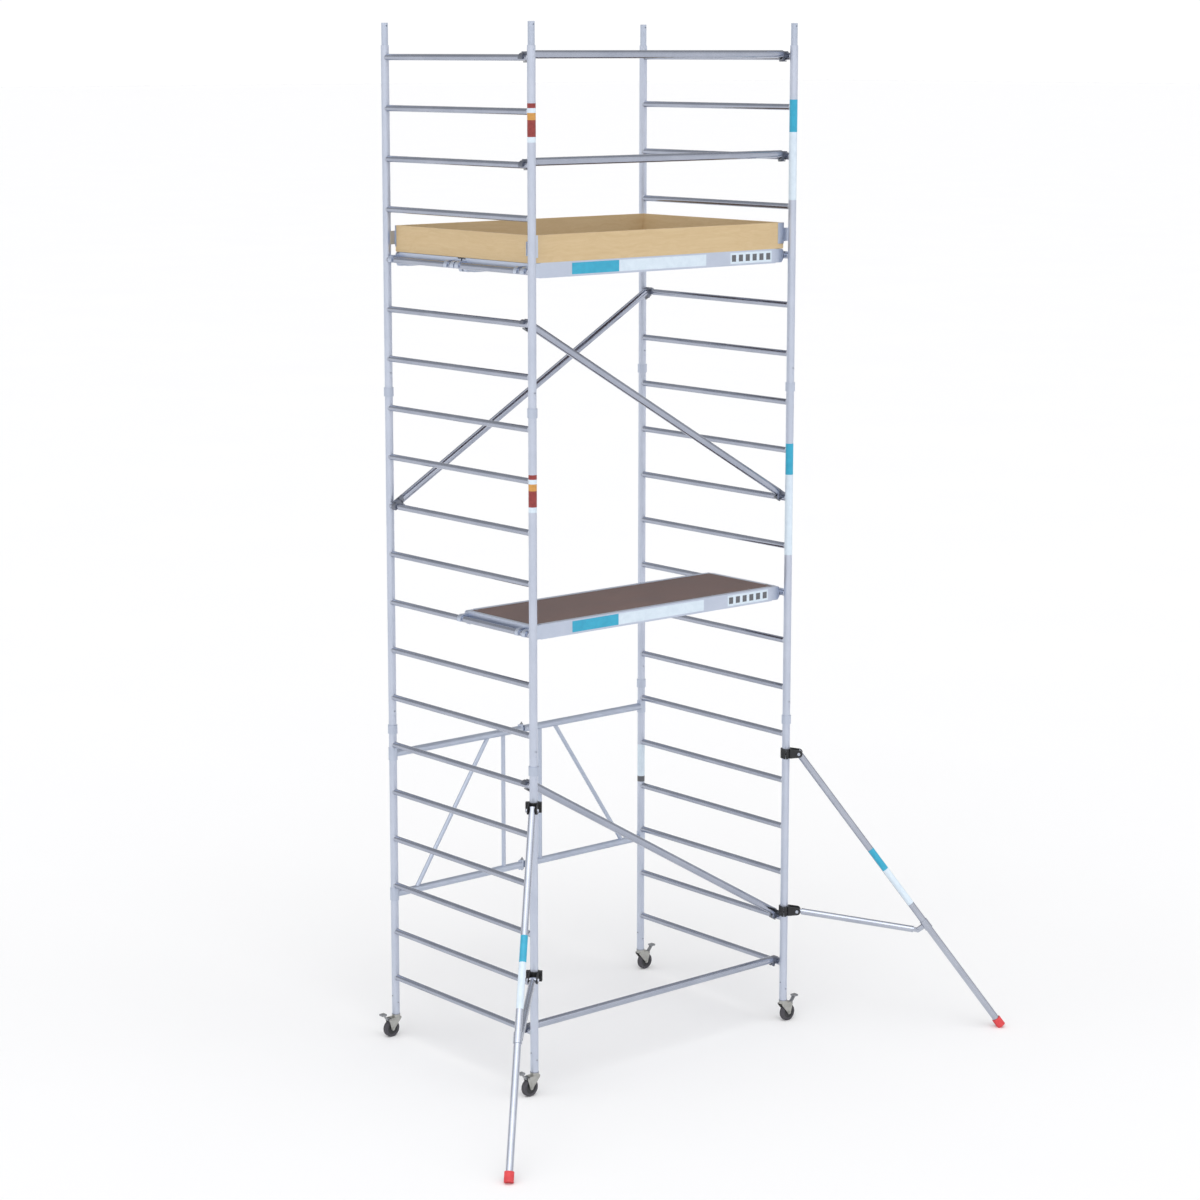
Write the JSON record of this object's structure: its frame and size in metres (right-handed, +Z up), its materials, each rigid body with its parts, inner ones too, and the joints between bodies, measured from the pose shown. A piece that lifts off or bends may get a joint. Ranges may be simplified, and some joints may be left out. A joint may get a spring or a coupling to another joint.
{
  "type": "mobile scaffold tower",
  "caption": "Mobile aluminium scaffold tower with ladder end frames, hooked platforms, toe boards, guardrails, folding rear gates, stabilisers and braked castors.",
  "frame": {"origin": "floor level under the middle of the footprint, stabiliser feet included", "axes": "+X along the bay towards the right end frame, +Y across the bay towards the rear with the folding gates, +Z up from the floor"},
  "size_m": [3.7882, 2.2565, 5.865],
  "materials": {
    "tube": "satin",
    "bright_tube": "satin",
    "cast": "matte",
    "deck_ply": "satin",
    "board_ply": "matte",
    "zinc": "satin",
    "steel": "satin",
    "black_alloy": "matte",
    "rubber": "matte",
    "red_rubber": "matte"
  },
  "bodies": {
    "scaffold": {"base_frame_left": "tube", "base_frame_right": "tube", "middle_frame_left": "tube", "middle_frame_right": "tube", "top_frame_left": "tube", "top_frame_right": "tube", "joint_spigots": "bright_tube", "joint_collars": "cast", "folding_gate_left": "tube", "folding_gate_right": "tube", "gate_hinge_pins": "steel", "guardrail_top": "bright_tube", "guardrail_knee": "bright_tube", "front_diagonal_brace": "bright_tube", "rear_diagonal_brace": "bright_tube", "base_diagonal_brace": "bright_tube", "base_horizontal_brace": "bright_tube", "lower_platform_frame": "bright_tube", "lower_platform_deck": "deck_ply", "front_platform_frame": "bright_tube", "front_platform_deck": "deck_ply", "rear_platform_frame": "bright_tube", "rear_platform_deck": "deck_ply", "toe_boards": "board_ply", "toe_board_brackets": "bright_tube", "castor_stems": "cast"},
    "castor_front_left": {"castor_fork_front_left": "zinc"},
    "wheel_front_left": {"castor_wheel_front_left": "rubber"},
    "pedal_front_left": {"brake_pedal_front_left": "steel"},
    "castor_rear_left": {"castor_fork_rear_left": "zinc"},
    "wheel_rear_left": {"castor_wheel_rear_left": "rubber"},
    "pedal_rear_left": {"brake_pedal_rear_left": "steel"},
    "castor_front_right": {"castor_fork_front_right": "zinc"},
    "wheel_front_right": {"castor_wheel_front_right": "rubber"},
    "pedal_front_right": {"brake_pedal_front_right": "steel"},
    "castor_rear_right": {"castor_fork_rear_right": "zinc"},
    "wheel_rear_right": {"castor_wheel_rear_right": "rubber"},
    "pedal_rear_right": {"brake_pedal_rear_right": "steel"},
    "hatch": {"access_hatch": "deck_ply"},
    "stabiliser_left": {"stabiliser_clamps_left": "black_alloy", "stabiliser_strut_left": "bright_tube", "stabiliser_arm_left": "bright_tube", "stabiliser_foot_left": "red_rubber"},
    "stabiliser_right": {"stabiliser_clamps_right": "black_alloy", "stabiliser_strut_right": "bright_tube", "stabiliser_arm_right": "bright_tube", "stabiliser_foot_right": "red_rubber"},
    "latch_guardrail_left_body": {"latch_guardrail_left": "steel"},
    "latch_guardrail_right_body": {"latch_guardrail_right": "steel"},
    "latch_knee_rail_left_body": {"latch_knee_rail_left": "steel"},
    "latch_knee_rail_right_body": {"latch_knee_rail_right": "steel"},
    "latch_front_brace_left_body": {"latch_front_brace_left": "steel"},
    "latch_front_brace_right_body": {"latch_front_brace_right": "steel"},
    "latch_rear_brace_left_body": {"latch_rear_brace_left": "steel"},
    "latch_rear_brace_right_body": {"latch_rear_brace_right": "steel"},
    "latch_base_brace_left_body": {"latch_base_brace_left": "steel"},
    "latch_base_brace_right_body": {"latch_base_brace_right": "steel"},
    "wind_lock_lower_body": {"wind_lock_lower": "steel"},
    "wind_lock_front_body": {"wind_lock_front": "steel"},
    "wind_lock_rear_body": {"wind_lock_rear": "steel"}
  },
  "joints": [
    {"name": "swivel_front_left", "type": "hinge", "parent": "scaffold", "child": "castor_front_left", "pos_m": [-0.955, -0.18921, 0.118], "axis": [0, 0, 1], "continuous": true},
    {"name": "roll_front_left", "type": "hinge", "parent": "castor_front_left", "child": "wheel_front_left", "pos_m": [-0.99, -0.18921, 0.05], "axis": [0, 1, 0], "continuous": true},
    {"name": "brake_front_left", "type": "hinge", "parent": "castor_front_left", "child": "pedal_front_left", "pos_m": [-1.007, -0.18921, 0.108], "axis": [0, -1, 0], "range_deg": [0, 17]},
    {"name": "swivel_rear_left", "type": "hinge", "parent": "scaffold", "child": "castor_rear_left", "pos_m": [-0.955, 1.10079, 0.118], "axis": [0, 0, 1], "continuous": true},
    {"name": "roll_rear_left", "type": "hinge", "parent": "castor_rear_left", "child": "wheel_rear_left", "pos_m": [-0.99, 1.10079, 0.05], "axis": [0, 1, 0], "continuous": true},
    {"name": "brake_rear_left", "type": "hinge", "parent": "castor_rear_left", "child": "pedal_rear_left", "pos_m": [-1.007, 1.10079, 0.108], "axis": [0, -1, 0], "range_deg": [0, 17]},
    {"name": "swivel_front_right", "type": "hinge", "parent": "scaffold", "child": "castor_front_right", "pos_m": [0.955, -0.18921, 0.118], "axis": [0, 0, 1], "continuous": true},
    {"name": "roll_front_right", "type": "hinge", "parent": "castor_front_right", "child": "wheel_front_right", "pos_m": [0.99, -0.18921, 0.05], "axis": [0, 1, 0], "continuous": true},
    {"name": "brake_front_right", "type": "hinge", "parent": "castor_front_right", "child": "pedal_front_right", "pos_m": [1.007, -0.18921, 0.108], "axis": [0, 1, 0], "range_deg": [0, 17]},
    {"name": "swivel_rear_right", "type": "hinge", "parent": "scaffold", "child": "castor_rear_right", "pos_m": [0.955, 1.10079, 0.118], "axis": [0, 0, 1], "continuous": true},
    {"name": "roll_rear_right", "type": "hinge", "parent": "castor_rear_right", "child": "wheel_rear_right", "pos_m": [0.99, 1.10079, 0.05], "axis": [0, 1, 0], "continuous": true},
    {"name": "brake_rear_right", "type": "hinge", "parent": "castor_rear_right", "child": "pedal_rear_right", "pos_m": [1.007, 1.10079, 0.108], "axis": [0, 1, 0], "range_deg": [0, 17]},
    {"name": "hatch_hinge", "type": "hinge", "parent": "scaffold", "child": "hatch", "pos_m": [-0.46, 1.00629, 4.6038], "axis": [-1, 0, 0], "range_deg": [0, 95]},
    {"name": "swing_left", "type": "hinge", "parent": "scaffold", "child": "stabiliser_left", "pos_m": [-0.955, -0.18921, 1.165], "axis": [0, 0, 1], "range_deg": [-45, 45]},
    {"name": "swing_right", "type": "hinge", "parent": "scaffold", "child": "stabiliser_right", "pos_m": [0.955, -0.18921, 1.165], "axis": [0, 0, 1], "range_deg": [-45, 45]},
    {"name": "release_guardrail_left", "type": "hinge", "parent": "scaffold", "child": "latch_guardrail_left_body", "pos_m": [-0.923, -0.12521, 5.662], "axis": [0, -1, 0], "range_deg": [0, 35], "stiffness_Nm_per_rad": 0.3, "springref_deg": -14.9},
    {"name": "release_guardrail_right", "type": "hinge", "parent": "scaffold", "child": "latch_guardrail_right_body", "pos_m": [0.923, -0.12521, 5.662], "axis": [0, 1, 0], "range_deg": [0, 35], "stiffness_Nm_per_rad": 0.3, "springref_deg": -14.9},
    {"name": "release_knee_rail_left", "type": "hinge", "parent": "scaffold", "child": "latch_knee_rail_left_body", "pos_m": [-0.923, -0.12521, 5.102], "axis": [0, -1, 0], "range_deg": [0, 35], "stiffness_Nm_per_rad": 0.3, "springref_deg": -14.9},
    {"name": "release_knee_rail_right", "type": "hinge", "parent": "scaffold", "child": "latch_knee_rail_right_body", "pos_m": [0.923, -0.12521, 5.102], "axis": [0, 1, 0], "range_deg": [0, 35], "stiffness_Nm_per_rad": 0.3, "springref_deg": -14.9},
    {"name": "release_front_brace_left", "type": "hinge", "parent": "scaffold", "child": "latch_front_brace_left_body", "pos_m": [-0.93498, -0.12521, 4.24787], "axis": [0, -1, 0], "range_deg": [0, 35], "stiffness_Nm_per_rad": 0.3, "springref_deg": -14.9},
    {"name": "release_front_brace_right", "type": "hinge", "parent": "scaffold", "child": "latch_front_brace_right_body", "pos_m": [0.91981, -0.12521, 3.16025], "axis": [0, 1, 0], "range_deg": [0, 35], "stiffness_Nm_per_rad": 0.3, "springref_deg": -14.9},
    {"name": "release_rear_brace_left", "type": "hinge", "parent": "scaffold", "child": "latch_rear_brace_left_body", "pos_m": [-0.91981, 1.03679, 3.16025], "axis": [0, -1, 0], "range_deg": [0, 35], "stiffness_Nm_per_rad": 0.3, "springref_deg": -14.9},
    {"name": "release_rear_brace_right", "type": "hinge", "parent": "scaffold", "child": "latch_rear_brace_right_body", "pos_m": [0.93498, 1.03679, 4.24787], "axis": [0, 1, 0], "range_deg": [0, 35], "stiffness_Nm_per_rad": 0.3, "springref_deg": -14.9},
    {"name": "release_base_brace_left", "type": "hinge", "parent": "scaffold", "child": "latch_base_brace_left_body", "pos_m": [-0.93498, -0.12521, 1.72787], "axis": [0, -1, 0], "range_deg": [0, 35], "stiffness_Nm_per_rad": 0.3, "springref_deg": -14.9},
    {"name": "release_base_brace_right", "type": "hinge", "parent": "scaffold", "child": "latch_base_brace_right_body", "pos_m": [0.91981, -0.12521, 0.64025], "axis": [0, 1, 0], "range_deg": [0, 35], "stiffness_Nm_per_rad": 0.3, "springref_deg": -14.9},
    {"name": "turn_wind_lock_lower", "type": "hinge", "parent": "scaffold", "child": "wind_lock_lower_body", "pos_m": [0.91, -0.05921, 2.602], "axis": [0, 0, 1], "range_deg": [0, 90]},
    {"name": "turn_wind_lock_front", "type": "hinge", "parent": "scaffold", "child": "wind_lock_front_body", "pos_m": [0.91, -0.05921, 4.562], "axis": [0, 0, 1], "range_deg": [0, 90]},
    {"name": "turn_wind_lock_rear", "type": "hinge", "parent": "scaffold", "child": "wind_lock_rear_body", "pos_m": [0.91, 0.55079, 4.562], "axis": [0, 0, 1], "range_deg": [0, 90]}
  ]
}
